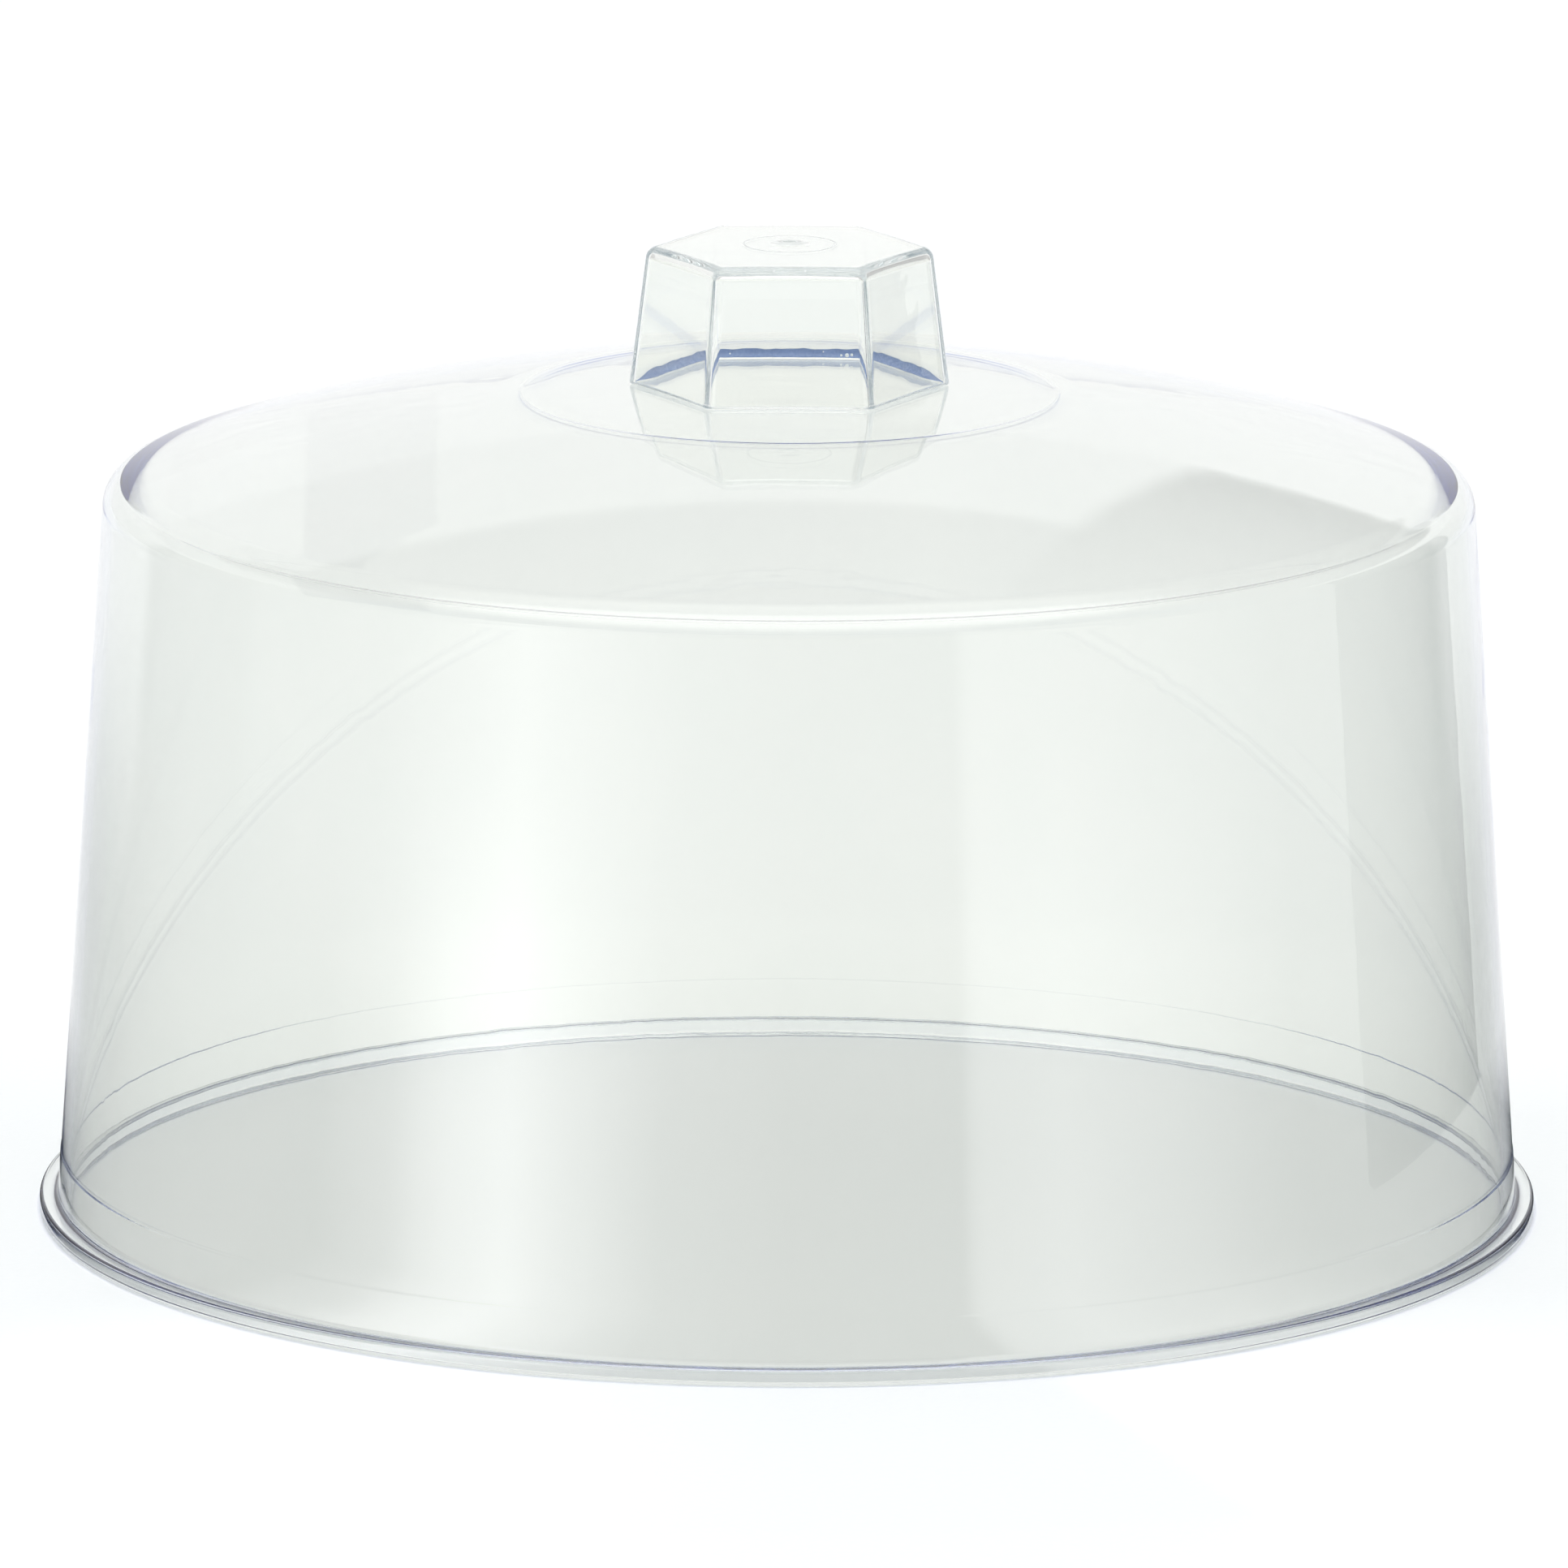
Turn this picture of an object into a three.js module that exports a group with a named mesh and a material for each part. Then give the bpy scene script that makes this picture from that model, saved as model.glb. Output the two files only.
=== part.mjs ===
// Domed display cover: one clear moulded cover with a turned-out rim, a hollow
// hexagonal knob bonded on its crown, and the cement bead inside the knob's foot.
// Millimetres, +Z up. The origin is the centre of the rim's flat underside.
import * as THREE from 'three';

// ---- Cover: rim and wall -----------------------------------------------------
const RIM_RADIUS = 152.4; // 12 in rim
const RIM_THICKNESS = 3.2;
const RIM_EDGE_ROUND = 0.9;
const RIM_FILLET = 1.0; // rim's upper face into the wall
const WALL = 2.0;
const STEP_HEIGHT = 12.1; // fine line where the proud foot band ends
const STEP_RADIUS = 148.0; // wall's outer radius just above that line
const STEP_PROUD = 0.12;
const STEP_RUN = 0.5; // height over which the line fades into the wall
const DRAFT = Math.tan(THREE.MathUtils.degToRad(3.95));

// ---- Cover: shoulder and crown -----------------------------------------------
const CROWN_SPHERE = 440; // radius of the shallow domed top
const CROWN_APEX = 171.6; // where that sphere would cross the axis
const SHOULDER_ROUND = 5.3;
const PAD_RADIUS = 54.8; // fine ring around the flatter centre pad
const PAD_PROUD = 0.08;
const PAD_RUN = 0.8;
const PAD_SPHERE = 730;

// ---- Knob --------------------------------------------------------------------
const KNOB_TOP = 198.0; // height of the flat top at its edge
const KNOB_FOOT_FLAT = 28.4; // axis to flat at the foot
const KNOB_TAPER = 0.11; // axis-to-flat loss per millimetre of height
const KNOB_CORNER = 3.4; // plan radius of the six corners, inside ones struck from the same centres
const KNOB_CORNER_LEAST = 0.8; // where the outside is drawn in over the top edge
const KNOB_INNER_CORNER_LEAST = 0.5;
const KNOB_EDGE_ROUND = 2.2; // top edge
const KNOB_WALL_FOOT = 1.9;
const KNOB_WALL_TOP = 1.6;
const KNOB_ROOF = 2.0;
const KNOB_ROOF_ROUND = 0.9; // roof into the inside of the wall
const KNOB_SWELL = 0.55; // the top and the roof under it swell this much in the middle
const KNOB_SWELL_RADIUS = 26;
const DISC_RADIUS = 9.5; // ejector witness disc
const DISC_SURROUND = 16.15; // circle between the disc and the hexagonal outline
const DISC_GROOVE = 0.1;
const DISC_GROOVE_WIDTH = 0.5;
const GATE_RADIUS = 4.4; // gate dimple in the disc's middle
const GATE_DEPTH = 0.28;

// ---- Joint -------------------------------------------------------------------
const GAP = 0.3; // stands for the film of solvent cement
const BEAD = 1.8; // cement bead's height and width
const BEAD_CORNER = 1.0; // its plan corner radius

const AROUND = 96; // facets of the round shapes
const SIDE_STEPS = 6; // points along one flat of a hexagonal section
const CORNER_STEPS = 4; // points around one corner

const TAU = Math.PI * 2;

/** Height of the crown's outer face at radius r, outside the centre pad. */
function crown(r) {
  return CROWN_APEX - CROWN_SPHERE + Math.sqrt(CROWN_SPHERE ** 2 - r ** 2);
}

const PAD_EDGE = crown(PAD_RADIUS) + PAD_PROUD;

/** Height of the centre pad's outer face at radius r. */
function pad(r) {
  const sagitta = (radius) => PAD_SPHERE - Math.sqrt(PAD_SPHERE ** 2 - radius ** 2);
  return PAD_EDGE + sagitta(PAD_RADIUS) - sagitta(r);
}

/** Outer radius of the wall at height z, above the fine line. */
function wallOuter(z) {
  return STEP_RADIUS - DRAFT * (z - STEP_HEIGHT);
}

/** Points of an arc about (cx, cz), from angle a to b in degrees. */
function arc(cx, cz, radius, a, b, steps) {
  return Array.from({ length: steps + 1 }, (_, i) => {
    const t = THREE.MathUtils.degToRad(a + ((b - a) * i) / steps);
    return [cx + radius * Math.cos(t), cz + radius * Math.sin(t)];
  });
}

/**
 * Centre of the shoulder's arc: on the line parallel to the wall and on the
 * sphere parallel to the crown, both one arc radius inside.
 */
function shoulderCentre() {
  const across = Math.sqrt(1 + DRAFT ** 2);
  let z = crown(STEP_RADIUS * 0.9) - SHOULDER_ROUND;
  let r = 0;
  for (let i = 0; i < 40; i += 1) {
    r = wallOuter(z) - SHOULDER_ROUND * across;
    z = CROWN_APEX - CROWN_SPHERE + Math.sqrt((CROWN_SPHERE - SHOULDER_ROUND) ** 2 - r ** 2);
  }
  return [r, z];
}

/** Closed profile of the cover, from the axis on the outside to the axis inside. */
function coverProfile() {
  const [sr, sz] = shoulderCentre();
  const wallAngle = THREE.MathUtils.radToDeg(Math.atan(DRAFT));
  const crownAngle = THREE.MathUtils.radToDeg(
    Math.atan2(sz - (CROWN_APEX - CROWN_SPHERE), sr),
  );
  const shoulderOut = arc(sr, sz, SHOULDER_ROUND, crownAngle, wallAngle, 9);
  const shoulderIn = arc(sr, sz, SHOULDER_ROUND - WALL, wallAngle, crownAngle, 7);
  const crownEnd = shoulderOut[0][0];
  const crownInEnd = shoulderIn[shoulderIn.length - 1][0];
  const points = [];

  for (let i = 0; i <= 4; i += 1) {
    const r = ((PAD_RADIUS - PAD_RUN) * i) / 4;
    points.push([r, pad(r)]);
  }
  points.push([PAD_RADIUS, crown(PAD_RADIUS)]);
  for (let i = 1; i < 8; i += 1) {
    const r = PAD_RADIUS + ((crownEnd - PAD_RADIUS) * i) / 8;
    points.push([r, crown(r)]);
  }
  points.push(...shoulderOut);

  const footRadius = (z) => wallOuter(z) + STEP_PROUD;
  const filletR = footRadius(RIM_THICKNESS + RIM_FILLET) + RIM_FILLET;
  points.push([wallOuter(STEP_HEIGHT + STEP_RUN), STEP_HEIGHT + STEP_RUN]);
  points.push([footRadius(STEP_HEIGHT), STEP_HEIGHT]);
  points.push(...arc(filletR, RIM_THICKNESS + RIM_FILLET, RIM_FILLET, 180, 270, 5));
  const edge = RIM_RADIUS - RIM_EDGE_ROUND;
  points.push(...arc(edge, RIM_THICKNESS - RIM_EDGE_ROUND, RIM_EDGE_ROUND, 90, 0, 4));
  points.push(...arc(edge, RIM_EDGE_ROUND, RIM_EDGE_ROUND, 0, -90, 4));

  points.push([wallOuter(0) - WALL, 0]);
  points.push(...shoulderIn);
  for (let i = 7; i >= 0; i -= 1) {
    const r = (crownInEnd * i) / 8;
    points.push([r, Math.min(crown(r), pad(r)) - WALL]);
  }
  return points.map(([r, z]) => new THREE.Vector2(Math.max(r, 0), z));
}

/** Lathe about +Z from a profile of (radius, height). */
function lathe(profile) {
  const downward = [...profile].reverse();
  return new THREE.LatheGeometry(downward, AROUND).rotateX(Math.PI / 2);
}

/**
 * A hexagon with rounded corners as [x, y] points, counter-clockwise from the
 * middle of a flat that faces -Y.
 */
function hexSection(flat, corner) {
  const points = [];
  const half = (flat - corner) * Math.tan(Math.PI / 6);
  for (let side = 0; side < 6; side += 1) {
    const turn = (TAU * side) / 6;
    const local = [];
    for (let i = 0; i < SIDE_STEPS; i += 1) {
      local.push([-half + (2 * half * i) / SIDE_STEPS, -flat]);
    }
    for (let i = 0; i < CORNER_STEPS; i += 1) {
      const t = -Math.PI / 2 + ((Math.PI / 3) * i) / CORNER_STEPS;
      local.push([half + corner * Math.cos(t), corner - flat + corner * Math.sin(t)]);
    }
    for (const [x, y] of local) {
      points.push([
        x * Math.cos(turn) - y * Math.sin(turn),
        x * Math.sin(turn) + y * Math.cos(turn),
      ]);
    }
  }
  return points;
}

/** A circle with one point on the same bearing as each of a section's points. */
function circleSection(radius, like) {
  return like.map(([x, y]) => {
    const r = Math.hypot(x, y);
    return [(x / r) * radius, (y / r) * radius];
  });
}

/**
 * Skin over rings of points that all have the same count. Each ring is a list of
 * [x, y, z]. The last ring joins the first when closed, otherwise both ends are
 * capped with a fan on the axis. Rings that run up the outside face outwards.
 */
function loft(rings, closed) {
  const count = rings[0].length;
  const positions = rings.flat(2);
  const index = [];
  const last = closed ? rings.length : rings.length - 1;
  for (let k = 0; k < last; k += 1) {
    const a = k * count;
    const b = ((k + 1) % rings.length) * count;
    for (let i = 0; i < count; i += 1) {
      const j = (i + 1) % count;
      index.push(a + i, a + j, b + j, a + i, b + j, b + i);
    }
  }
  if (!closed) {
    const tip = (ring) => [0, 0, ring[0][2]];
    const low = positions.push(...tip(rings[0])) / 3 - 1;
    const high = positions.push(...tip(rings[rings.length - 1])) / 3 - 1;
    const top = (rings.length - 1) * count;
    for (let i = 0; i < count; i += 1) {
      const j = (i + 1) % count;
      index.push(low, j, i, high, top + i, top + j);
    }
  }
  const geometry = new THREE.BufferGeometry();
  geometry.setAttribute('position', new THREE.Float32BufferAttribute(positions, 3));
  geometry.setIndex(index);
  geometry.computeVertexNormals();
  return geometry;
}

/** Axis to flat of the knob's outside at height z. */
function knobFlat(z) {
  return KNOB_FOOT_FLAT - KNOB_TAPER * (z - pad(KNOB_FOOT_FLAT) - GAP);
}

/** Thickness of the knob's wall at height z: it thins towards the top. */
function knobWall(z) {
  const foot = pad(KNOB_FOOT_FLAT) + GAP;
  const rise = (z - foot) / (KNOB_TOP - KNOB_ROOF - foot);
  return THREE.MathUtils.lerp(KNOB_WALL_FOOT, KNOB_WALL_TOP, rise);
}

/** The knob's inner outline at height z, drawn in by an inset. */
function knobInside(z, inset) {
  const offset = knobWall(z) + inset;
  return hexSection(knobFlat(z) - offset, Math.max(KNOB_CORNER - offset, KNOB_INNER_CORNER_LEAST));
}

/** The knob's outer outline at height z, drawn in by an inset. */
function knobOutside(z, inset) {
  return hexSection(knobFlat(z) - inset, Math.max(KNOB_CORNER - inset, KNOB_CORNER_LEAST));
}

/** A section whose points stand a stated height above the crown's pad. */
function onPad(section, above) {
  return section.map(([x, y]) => [x, y, pad(Math.hypot(x, y)) + above]);
}

/** A section at one height. */
function level(section, z) {
  return section.map(([x, y]) => [x, y, z]);
}

/** A section on the swelling top or roof, whose height at the swelling's edge is z. */
function swollen(section, z, share = 1) {
  return section.map(([x, y]) => {
    const t = Math.min(Math.hypot(x, y) / KNOB_SWELL_RADIUS, 1);
    return [x, y, z + share * KNOB_SWELL * (1 - t * t)];
  });
}

function knobGeometry() {
  const foot = pad(KNOB_FOOT_FLAT) + GAP;
  const rings = [];

  // Inside, from the roof's middle out and down to the foot.
  const roof = KNOB_TOP - KNOB_ROOF;
  const innerTop = knobInside(roof, KNOB_ROOF_ROUND);
  rings.push(swollen(circleSection(DISC_RADIUS / 2, innerTop), roof));
  rings.push(swollen(circleSection(DISC_RADIUS, innerTop), roof));
  rings.push(swollen(circleSection(DISC_SURROUND, innerTop), roof));
  rings.push(swollen(innerTop, roof));
  for (const degrees of [60, 30, 0]) {
    const t = THREE.MathUtils.degToRad(degrees);
    const z = roof - KNOB_ROOF_ROUND * (1 - Math.sin(t));
    rings.push(swollen(knobInside(z, KNOB_ROOF_ROUND * (1 - Math.cos(t))), z, Math.sin(t)));
  }
  rings.push(onPad(knobInside(foot, 0), GAP));

  // Outside, from the foot up and over the rounded edge.
  rings.push(onPad(knobOutside(foot, 0), GAP));
  const shoulder = KNOB_TOP - KNOB_EDGE_ROUND;
  const steps = 6;
  for (let i = 0; i <= steps; i += 1) {
    const t = (Math.PI / 2) * (i / steps);
    const z = shoulder + KNOB_EDGE_ROUND * Math.sin(t);
    rings.push(swollen(knobOutside(z, KNOB_EDGE_ROUND * (1 - Math.cos(t))), z, Math.sin(t)));
  }

  // Top: swells to the witness disc, its fine groove, then the gate dimple.
  const outline = knobOutside(KNOB_TOP, KNOB_EDGE_ROUND);
  const round = (radius, sink) => swollen(circleSection(radius, outline), KNOB_TOP - sink);
  rings.push(round(DISC_SURROUND, 0));
  rings.push(round(DISC_RADIUS, 0));
  rings.push(round(DISC_RADIUS - DISC_GROOVE_WIDTH / 2, DISC_GROOVE));
  rings.push(round(DISC_RADIUS - DISC_GROOVE_WIDTH, 0));
  rings.push(round(GATE_RADIUS, 0));
  rings.push(round(GATE_RADIUS * 0.7, GATE_DEPTH * 0.5));
  rings.push(round(GATE_RADIUS * 0.4, GATE_DEPTH));
  return loft(rings, false);
}

/** Hexagonal ring of cement in the corner between the knob's wall and the pad. */
function beadGeometry() {
  const foot = pad(KNOB_FOOT_FLAT) + GAP;
  const outer = knobFlat(foot) - knobWall(foot) - GAP;
  const ring = (inset, above) => onPad(hexSection(outer - inset, BEAD_CORNER), GAP + above);
  return loft(
    [
      ring(BEAD, 0),
      ring(0, 0),
      ring(BEAD * KNOB_TAPER, BEAD),
      ring(BEAD * 0.32, BEAD * 0.82),
      ring(BEAD * 0.5, BEAD * 0.5),
      ring(BEAD * 0.75, BEAD * 0.22),
    ],
    true,
  );
}

function piece(name, geometry, color, opacity) {
  const material = new THREE.MeshStandardMaterial({
    color,
    roughness: 0.06,
    metalness: 0,
    transparent: true,
    opacity,
  });
  material.name = name;
  const mesh = new THREE.Mesh(geometry, material);
  mesh.name = name;
  return mesh;
}

const cover = new THREE.Group();
cover.name = 'display_cover';
cover.add(piece('cover_shell', lathe(coverProfile()), 0xe8f1ee, 0.3));
cover.add(piece('hex_knob', knobGeometry(), 0xe4efec, 0.35));
cover.add(piece('cement_bead', beadGeometry(), 0x758daf, 0.8));

export default cover;
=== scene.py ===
"""Looks for the domed display cover: a clear moulded cover, its hollow hexagonal knob and the
cement bead.

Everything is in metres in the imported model's frame. Names that end in _mm, and all fields of the
pieces, are in millimetres.
"""

import logging
import math
from dataclasses import dataclass
from enum import Enum
from typing import Any, Mapping, Sequence

import bpy
import numpy as np
from mathutils import Matrix, Vector


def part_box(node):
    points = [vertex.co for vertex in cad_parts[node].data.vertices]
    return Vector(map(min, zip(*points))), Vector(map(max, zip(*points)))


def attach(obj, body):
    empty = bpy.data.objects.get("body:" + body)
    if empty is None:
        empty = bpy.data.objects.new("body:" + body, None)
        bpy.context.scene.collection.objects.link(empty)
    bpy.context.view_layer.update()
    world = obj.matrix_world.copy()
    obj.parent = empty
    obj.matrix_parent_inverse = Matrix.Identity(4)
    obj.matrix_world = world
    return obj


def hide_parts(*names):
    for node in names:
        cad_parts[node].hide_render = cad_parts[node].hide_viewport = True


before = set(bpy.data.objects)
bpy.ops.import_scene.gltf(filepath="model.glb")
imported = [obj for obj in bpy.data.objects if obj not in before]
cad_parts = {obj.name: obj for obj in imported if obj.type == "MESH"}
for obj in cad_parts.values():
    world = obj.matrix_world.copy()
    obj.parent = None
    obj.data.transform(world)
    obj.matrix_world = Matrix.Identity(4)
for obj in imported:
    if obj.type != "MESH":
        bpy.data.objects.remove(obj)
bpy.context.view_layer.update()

LOG = logging.getLogger("display_cover")
MM = 0.001
TAU = 2.0 * math.pi
LIGHT_BOUNCES = 160  # enough for light that runs along inside the rim to find its way out
FULL_SCALE = 4.0  # the brightness that a ramp's white stands for
POLE_RADIUS = 0.6  # radius of the last ring before a pole, in millimetres
MARGIN = 0.15  # from the end of a curve to the next ring, so that smooth shading bends only there

Tree = bpy.types.NodeTree
Socket = bpy.types.NodeSocket
Object = bpy.types.Object
Pair = tuple[float, float]


# --- Colour and nodes ---


def linear(hex_colour: str, alpha: float = 1.0) -> tuple[float, float, float, float]:
    """Turn an sRGB hex colour into the linear colour that shader sockets take.

    Args:
        hex_colour: Six hex digits, such as "e8f1ee".
        alpha: Fourth value of the result.

    Returns:
        Linear red, green, blue and alpha.
    """
    srgb = np.array([int(hex_colour[i : i + 2], 16) / 255.0 for i in (0, 2, 4)])
    low = srgb / 12.92
    high = ((srgb + 0.055) / 1.055) ** 2.4
    return (*(float(v) for v in np.where(srgb <= 0.04045, low, high)), alpha)


def grey(level: float) -> tuple[float, float, float, float]:
    """A neutral brightness as a ramp colour, divided by the full scale so that the ramp can hold
    it."""
    return (level / FULL_SCALE, level / FULL_SCALE, level / FULL_SCALE, 1.0)


def add_node(
    tree: Tree, kind: str, inputs: Mapping[Any, Any] | None = None, **settings: Any
) -> bpy.types.Node:
    """Add one node with its settings, socket values and incoming links.

    Args:
        tree: The node tree that gets the node.
        kind: The node's bl_idname.
        inputs: Socket name or index to a plain value, or to the output socket that feeds it.
        **settings: Properties of the node itself.

    Returns:
        The new node.
    """
    node = tree.nodes.new(kind)
    for name, value in settings.items():
        setattr(node, name, value)
    for name, value in (inputs or {}).items():
        socket = node.inputs[name]
        if isinstance(value, Socket):
            tree.links.new(value, socket)
        else:
            socket.default_value = value
    return node


def maths(tree: Tree, operation: str, *values: Any) -> Socket:
    """The result of one Math node, fed with plain values or sockets in order."""
    return add_node(tree, "ShaderNodeMath", dict(enumerate(values)), operation=operation).outputs[0]


def noise(tree: Tree, vector: Socket, size_mm: float, **inputs: float) -> Socket:
    """The value of a noise texture.

    Args:
        tree: The node tree.
        vector: Coordinates that it reads, in metres.
        size_mm: Length of its largest features.
        **inputs: Further socket values, such as Detail.

    Returns:
        A value between nought and one.
    """
    sockets = {"Vector": vector, "Scale": 1.0 / (size_mm * MM), **inputs}
    return add_node(tree, "ShaderNodeTexNoise", sockets).outputs["Fac"]


def remap(
    tree: Tree,
    value: Socket,
    come: Pair = (0.0, 1.0),
    go: Pair = (0.0, 1.0),
    kind: str = "LINEAR",
) -> Socket:
    """Carry a value from one range to another, held at both ends.

    Args:
        tree: The node tree.
        value: What to carry over.
        come: Range that it comes from.
        go: Range that it goes to.
        kind: The node's interpolation_type.

    Returns:
        The result.
    """
    ends = {"From Min": come[0], "From Max": come[1], "To Min": go[0], "To Max": go[1]}
    sockets = {"Value": value, **ends}
    return add_node(tree, "ShaderNodeMapRange", sockets, interpolation_type=kind).outputs[0]


def blend(tree: Tree, factor: Socket, *pair: Socket | str) -> Socket:
    """The first of a pair turning into the second with a factor. Each is a socket or an sRGB hex
    colour."""
    first, last = (linear(c) if isinstance(c, str) else c for c in pair)
    sockets = {"Factor": factor, 6: first, 7: last}
    return add_node(tree, "ShaderNodeMix", sockets, data_type="RGBA").outputs[2]


def bump(
    tree: Tree, height: Socket, depth_mm: float, strength: float = 1.0, **inputs: Socket
) -> Socket:
    """The normal of a surface raised by up to a depth, over the normal given as a further input."""
    sockets = {"Height": height, "Strength": strength, "Distance": depth_mm * MM, **inputs}
    return add_node(tree, "ShaderNodeBump", sockets).outputs[0]


def ramp(
    tree: Tree, value: Socket, stops: Sequence[tuple[float, Sequence[float]]], ease: bool
) -> Socket:
    """The colour of a Color Ramp node.

    Args:
        tree: The node tree.
        value: Where to read the ramp.
        stops: Position and linear colour of each stop, in rising order.
        ease: True for a smooth passage between stops, False for a straight one.

    Returns:
        The colour.
    """
    node = add_node(tree, "ShaderNodeValToRGB", {0: value})
    elements = node.color_ramp.elements
    node.color_ramp.interpolation = "EASE" if ease else "LINEAR"
    while len(elements) > 1:
        elements.remove(elements[-1])
    elements[0].position = stops[0][0]
    elements[0].color = stops[0][1]
    for position, colour in stops[1:]:
        elements.new(position).color = colour
    return node.outputs[0]


def bearing_of(tree: Tree, axes: bpy.types.Node) -> Socket:
    """The angle round the axis in radians, nought towards the camera's side and growing to the
    right."""
    ahead = maths(tree, "MULTIPLY", axes.outputs["Y"], -1.0)
    return maths(tree, "ARCTAN2", axes.outputs["X"], ahead)


# --- Finishes ---


@dataclass(frozen=True)
class Finish:
    """A procedural finish.

    Attributes:
        name: The material's name.
    """

    name: str

    def nodes(self, tree: Tree, place: Socket) -> Mapping[str, Socket]:
        """Add the finish's own nodes.

        Args:
            tree: The material's node tree.
            place: Object coordinates.

        Returns:
            What feeds the sockets of the output node.
        """
        raise NotImplementedError

    def material(self) -> bpy.types.Material:
        """Build the material.

        Returns:
            A node material that reads Object coordinates.
        """
        made = bpy.data.materials.new(self.name)
        made.use_nodes = True
        made.node_tree.nodes.clear()
        place = add_node(made.node_tree, "ShaderNodeTexCoord").outputs["Object"]
        add_node(made.node_tree, "ShaderNodeOutputMaterial", self.nodes(made.node_tree, place))
        return made


def principled(tree: Tree, colour: Any, roughness: Any, **others: Any) -> dict[str, Socket]:
    """A Principled surface. Further sockets are named with underscores for spaces."""
    sockets = {"Base Color": colour, "Roughness": roughness}
    sockets.update({name.replace("_", " "): value for name, value in others.items()})
    return {"Surface": add_node(tree, "ShaderNodeBsdfPrincipled", sockets).outputs[0]}


@dataclass(frozen=True)
class PolishedSan(Finish):
    """Clear styrene acrylonitrile, injection moulded against a polished tool.

    To the eye it is water-clear with a faint cool cast that gathers in the long light paths of rims
    and edges, a hard gloss, slow waves where the melt flowed, and hairline rub marks from wiping
    and stacking.

    Attributes:
        tint_light: Colour that one clear wall lets through.
        tint_flow: The same along the flow marks.
        absorb: Colour that long paths through the plastic tend to.
        density: How strongly they do, per metre.
        ior: Index of refraction of SAN.
        wave_mm: Length of the slow waves.
        wave_depth_mm: Height of the slow waves.
        ripple_mm: Length of the fine tool ripple.
        ripple_depth_mm: Height of the fine ripple.
        rub_mm: Spacing of the hairline rub marks, drawn coarser than real ones so that they show.
        rub_stretch: How much longer than wide they are.
        rub_turn: Which way they run, as turns about the axes in radians.
        rub_share: Noise levels between which a mark comes in.
        handled_mm: Size of the patches where they are more frequent.
        polish: Roughness where the surface is untouched.
        worn: Roughness where it has been rubbed.
    """

    tint_light: str = "fafaf5"
    tint_flow: str = "f8f9f4"
    absorb: str = "6595e2"
    density: float = 15.0
    ior: float = 1.57
    wave_mm: float = 26.0
    wave_depth_mm: float = 0.02
    ripple_mm: float = 4.0
    ripple_depth_mm: float = 0.0006
    rub_mm: float = 1.6
    rub_stretch: float = 14.0
    rub_turn: tuple[float, float, float] = (0.3, 0.2, 0.7)
    rub_share: Pair = (0.62, 0.7)
    handled_mm: float = 45.0
    polish: float = 0.0
    worn: float = 0.035

    def nodes(self, tree: Tree, place: Socket) -> Mapping[str, Socket]:
        """A glass-like surface over an absorbing body, with waves, ripple and rub marks."""
        flow = noise(tree, place, self.wave_mm, Detail=2.0, Distortion=0.6)
        scale = (1.0, self.rub_stretch, self.rub_stretch)
        turned = {"Vector": place, "Rotation": self.rub_turn, "Scale": scale}
        rub_space = add_node(tree, "ShaderNodeMapping", turned).outputs[0]
        rubs = noise(tree, rub_space, self.rub_mm * self.rub_stretch, Detail=6.0)
        handled = noise(tree, place, self.handled_mm, Detail=1.0)
        worn = maths(tree, "MULTIPLY", remap(tree, rubs, self.rub_share), handled)
        ripple = noise(tree, place, self.ripple_mm, Detail=2.0)
        waves = bump(tree, flow, self.wave_depth_mm)
        body = {"Color": linear(self.absorb), "Density": self.density}
        return {
            **principled(
                tree,
                blend(tree, flow, self.tint_light, self.tint_flow),
                remap(tree, worn, go=(self.polish, self.worn)),
                IOR=self.ior,
                Transmission_Weight=1.0,
                Normal=bump(tree, ripple, self.ripple_depth_mm, Normal=waves),
            ),
            "Volume": add_node(tree, "ShaderNodeVolumeAbsorption", body).outputs[0],
        }


@dataclass(frozen=True)
class DriedCement(Finish):
    """Solvent cement run into the corner of the joint and left to dry.

    To the eye a glassy blue-grey bead, uneven in depth, with a frosty skin and small trapped
    bubbles. Its two blues are partly the cement's own cast and partly painted shade: the navy
    band that refraction of the dark surroundings shows along the knob's foot.

    Attributes:
        deep: The darker of the two blues in patches, partly painted shade.
        pale: The lighter of the two blues in patches, partly painted shade.
        mottle_mm: Size of the colour patches.
        grain_mm: Size of the frosty grain.
        grain_depth_mm: Height of the grain.
    """

    name: str = "solvent_cement_painted_shade"
    # Both blues are partly painted shade: the navy band along the knob's foot, over the cement's own
    # cast.
    deep: str = "5876ae"
    pale: str = "7b97c6"
    mottle_mm: float = 3.0
    grain_mm: float = 0.5
    grain_depth_mm: float = 0.05

    def nodes(self, tree: Tree, place: Socket) -> Mapping[str, Socket]:
        """Two blues in patches, partly painted shade, under a fine grain that is glossy in the
        hollows.
        """
        mottle = noise(tree, place, self.mottle_mm, Detail=4.0)
        grain = noise(tree, place, self.grain_mm, Detail=2.0)
        return principled(
            tree,
            blend(tree, mottle, self.deep, self.pale),
            remap(tree, grain, (0.3, 0.7), (0.12, 0.4)),
            IOR=1.5,
            Normal=bump(tree, grain, self.grain_depth_mm, 0.5),
        )


@dataclass(frozen=True)
class TrappedAir(Finish):
    """Froth where air was caught in the wet cement: near-white specks."""

    name: str = "cement_bubble_froth"
    colour: str = "f2f6f8"
    froth_mm: float = 0.3

    def nodes(self, tree: Tree, place: Socket) -> Mapping[str, Socket]:
        """One pale colour, with a gloss that varies over the froth."""
        gloss = remap(tree, noise(tree, place, self.froth_mm), go=(0.2, 0.5))
        return principled(tree, linear(self.colour), gloss, IOR=1.45)


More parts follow.
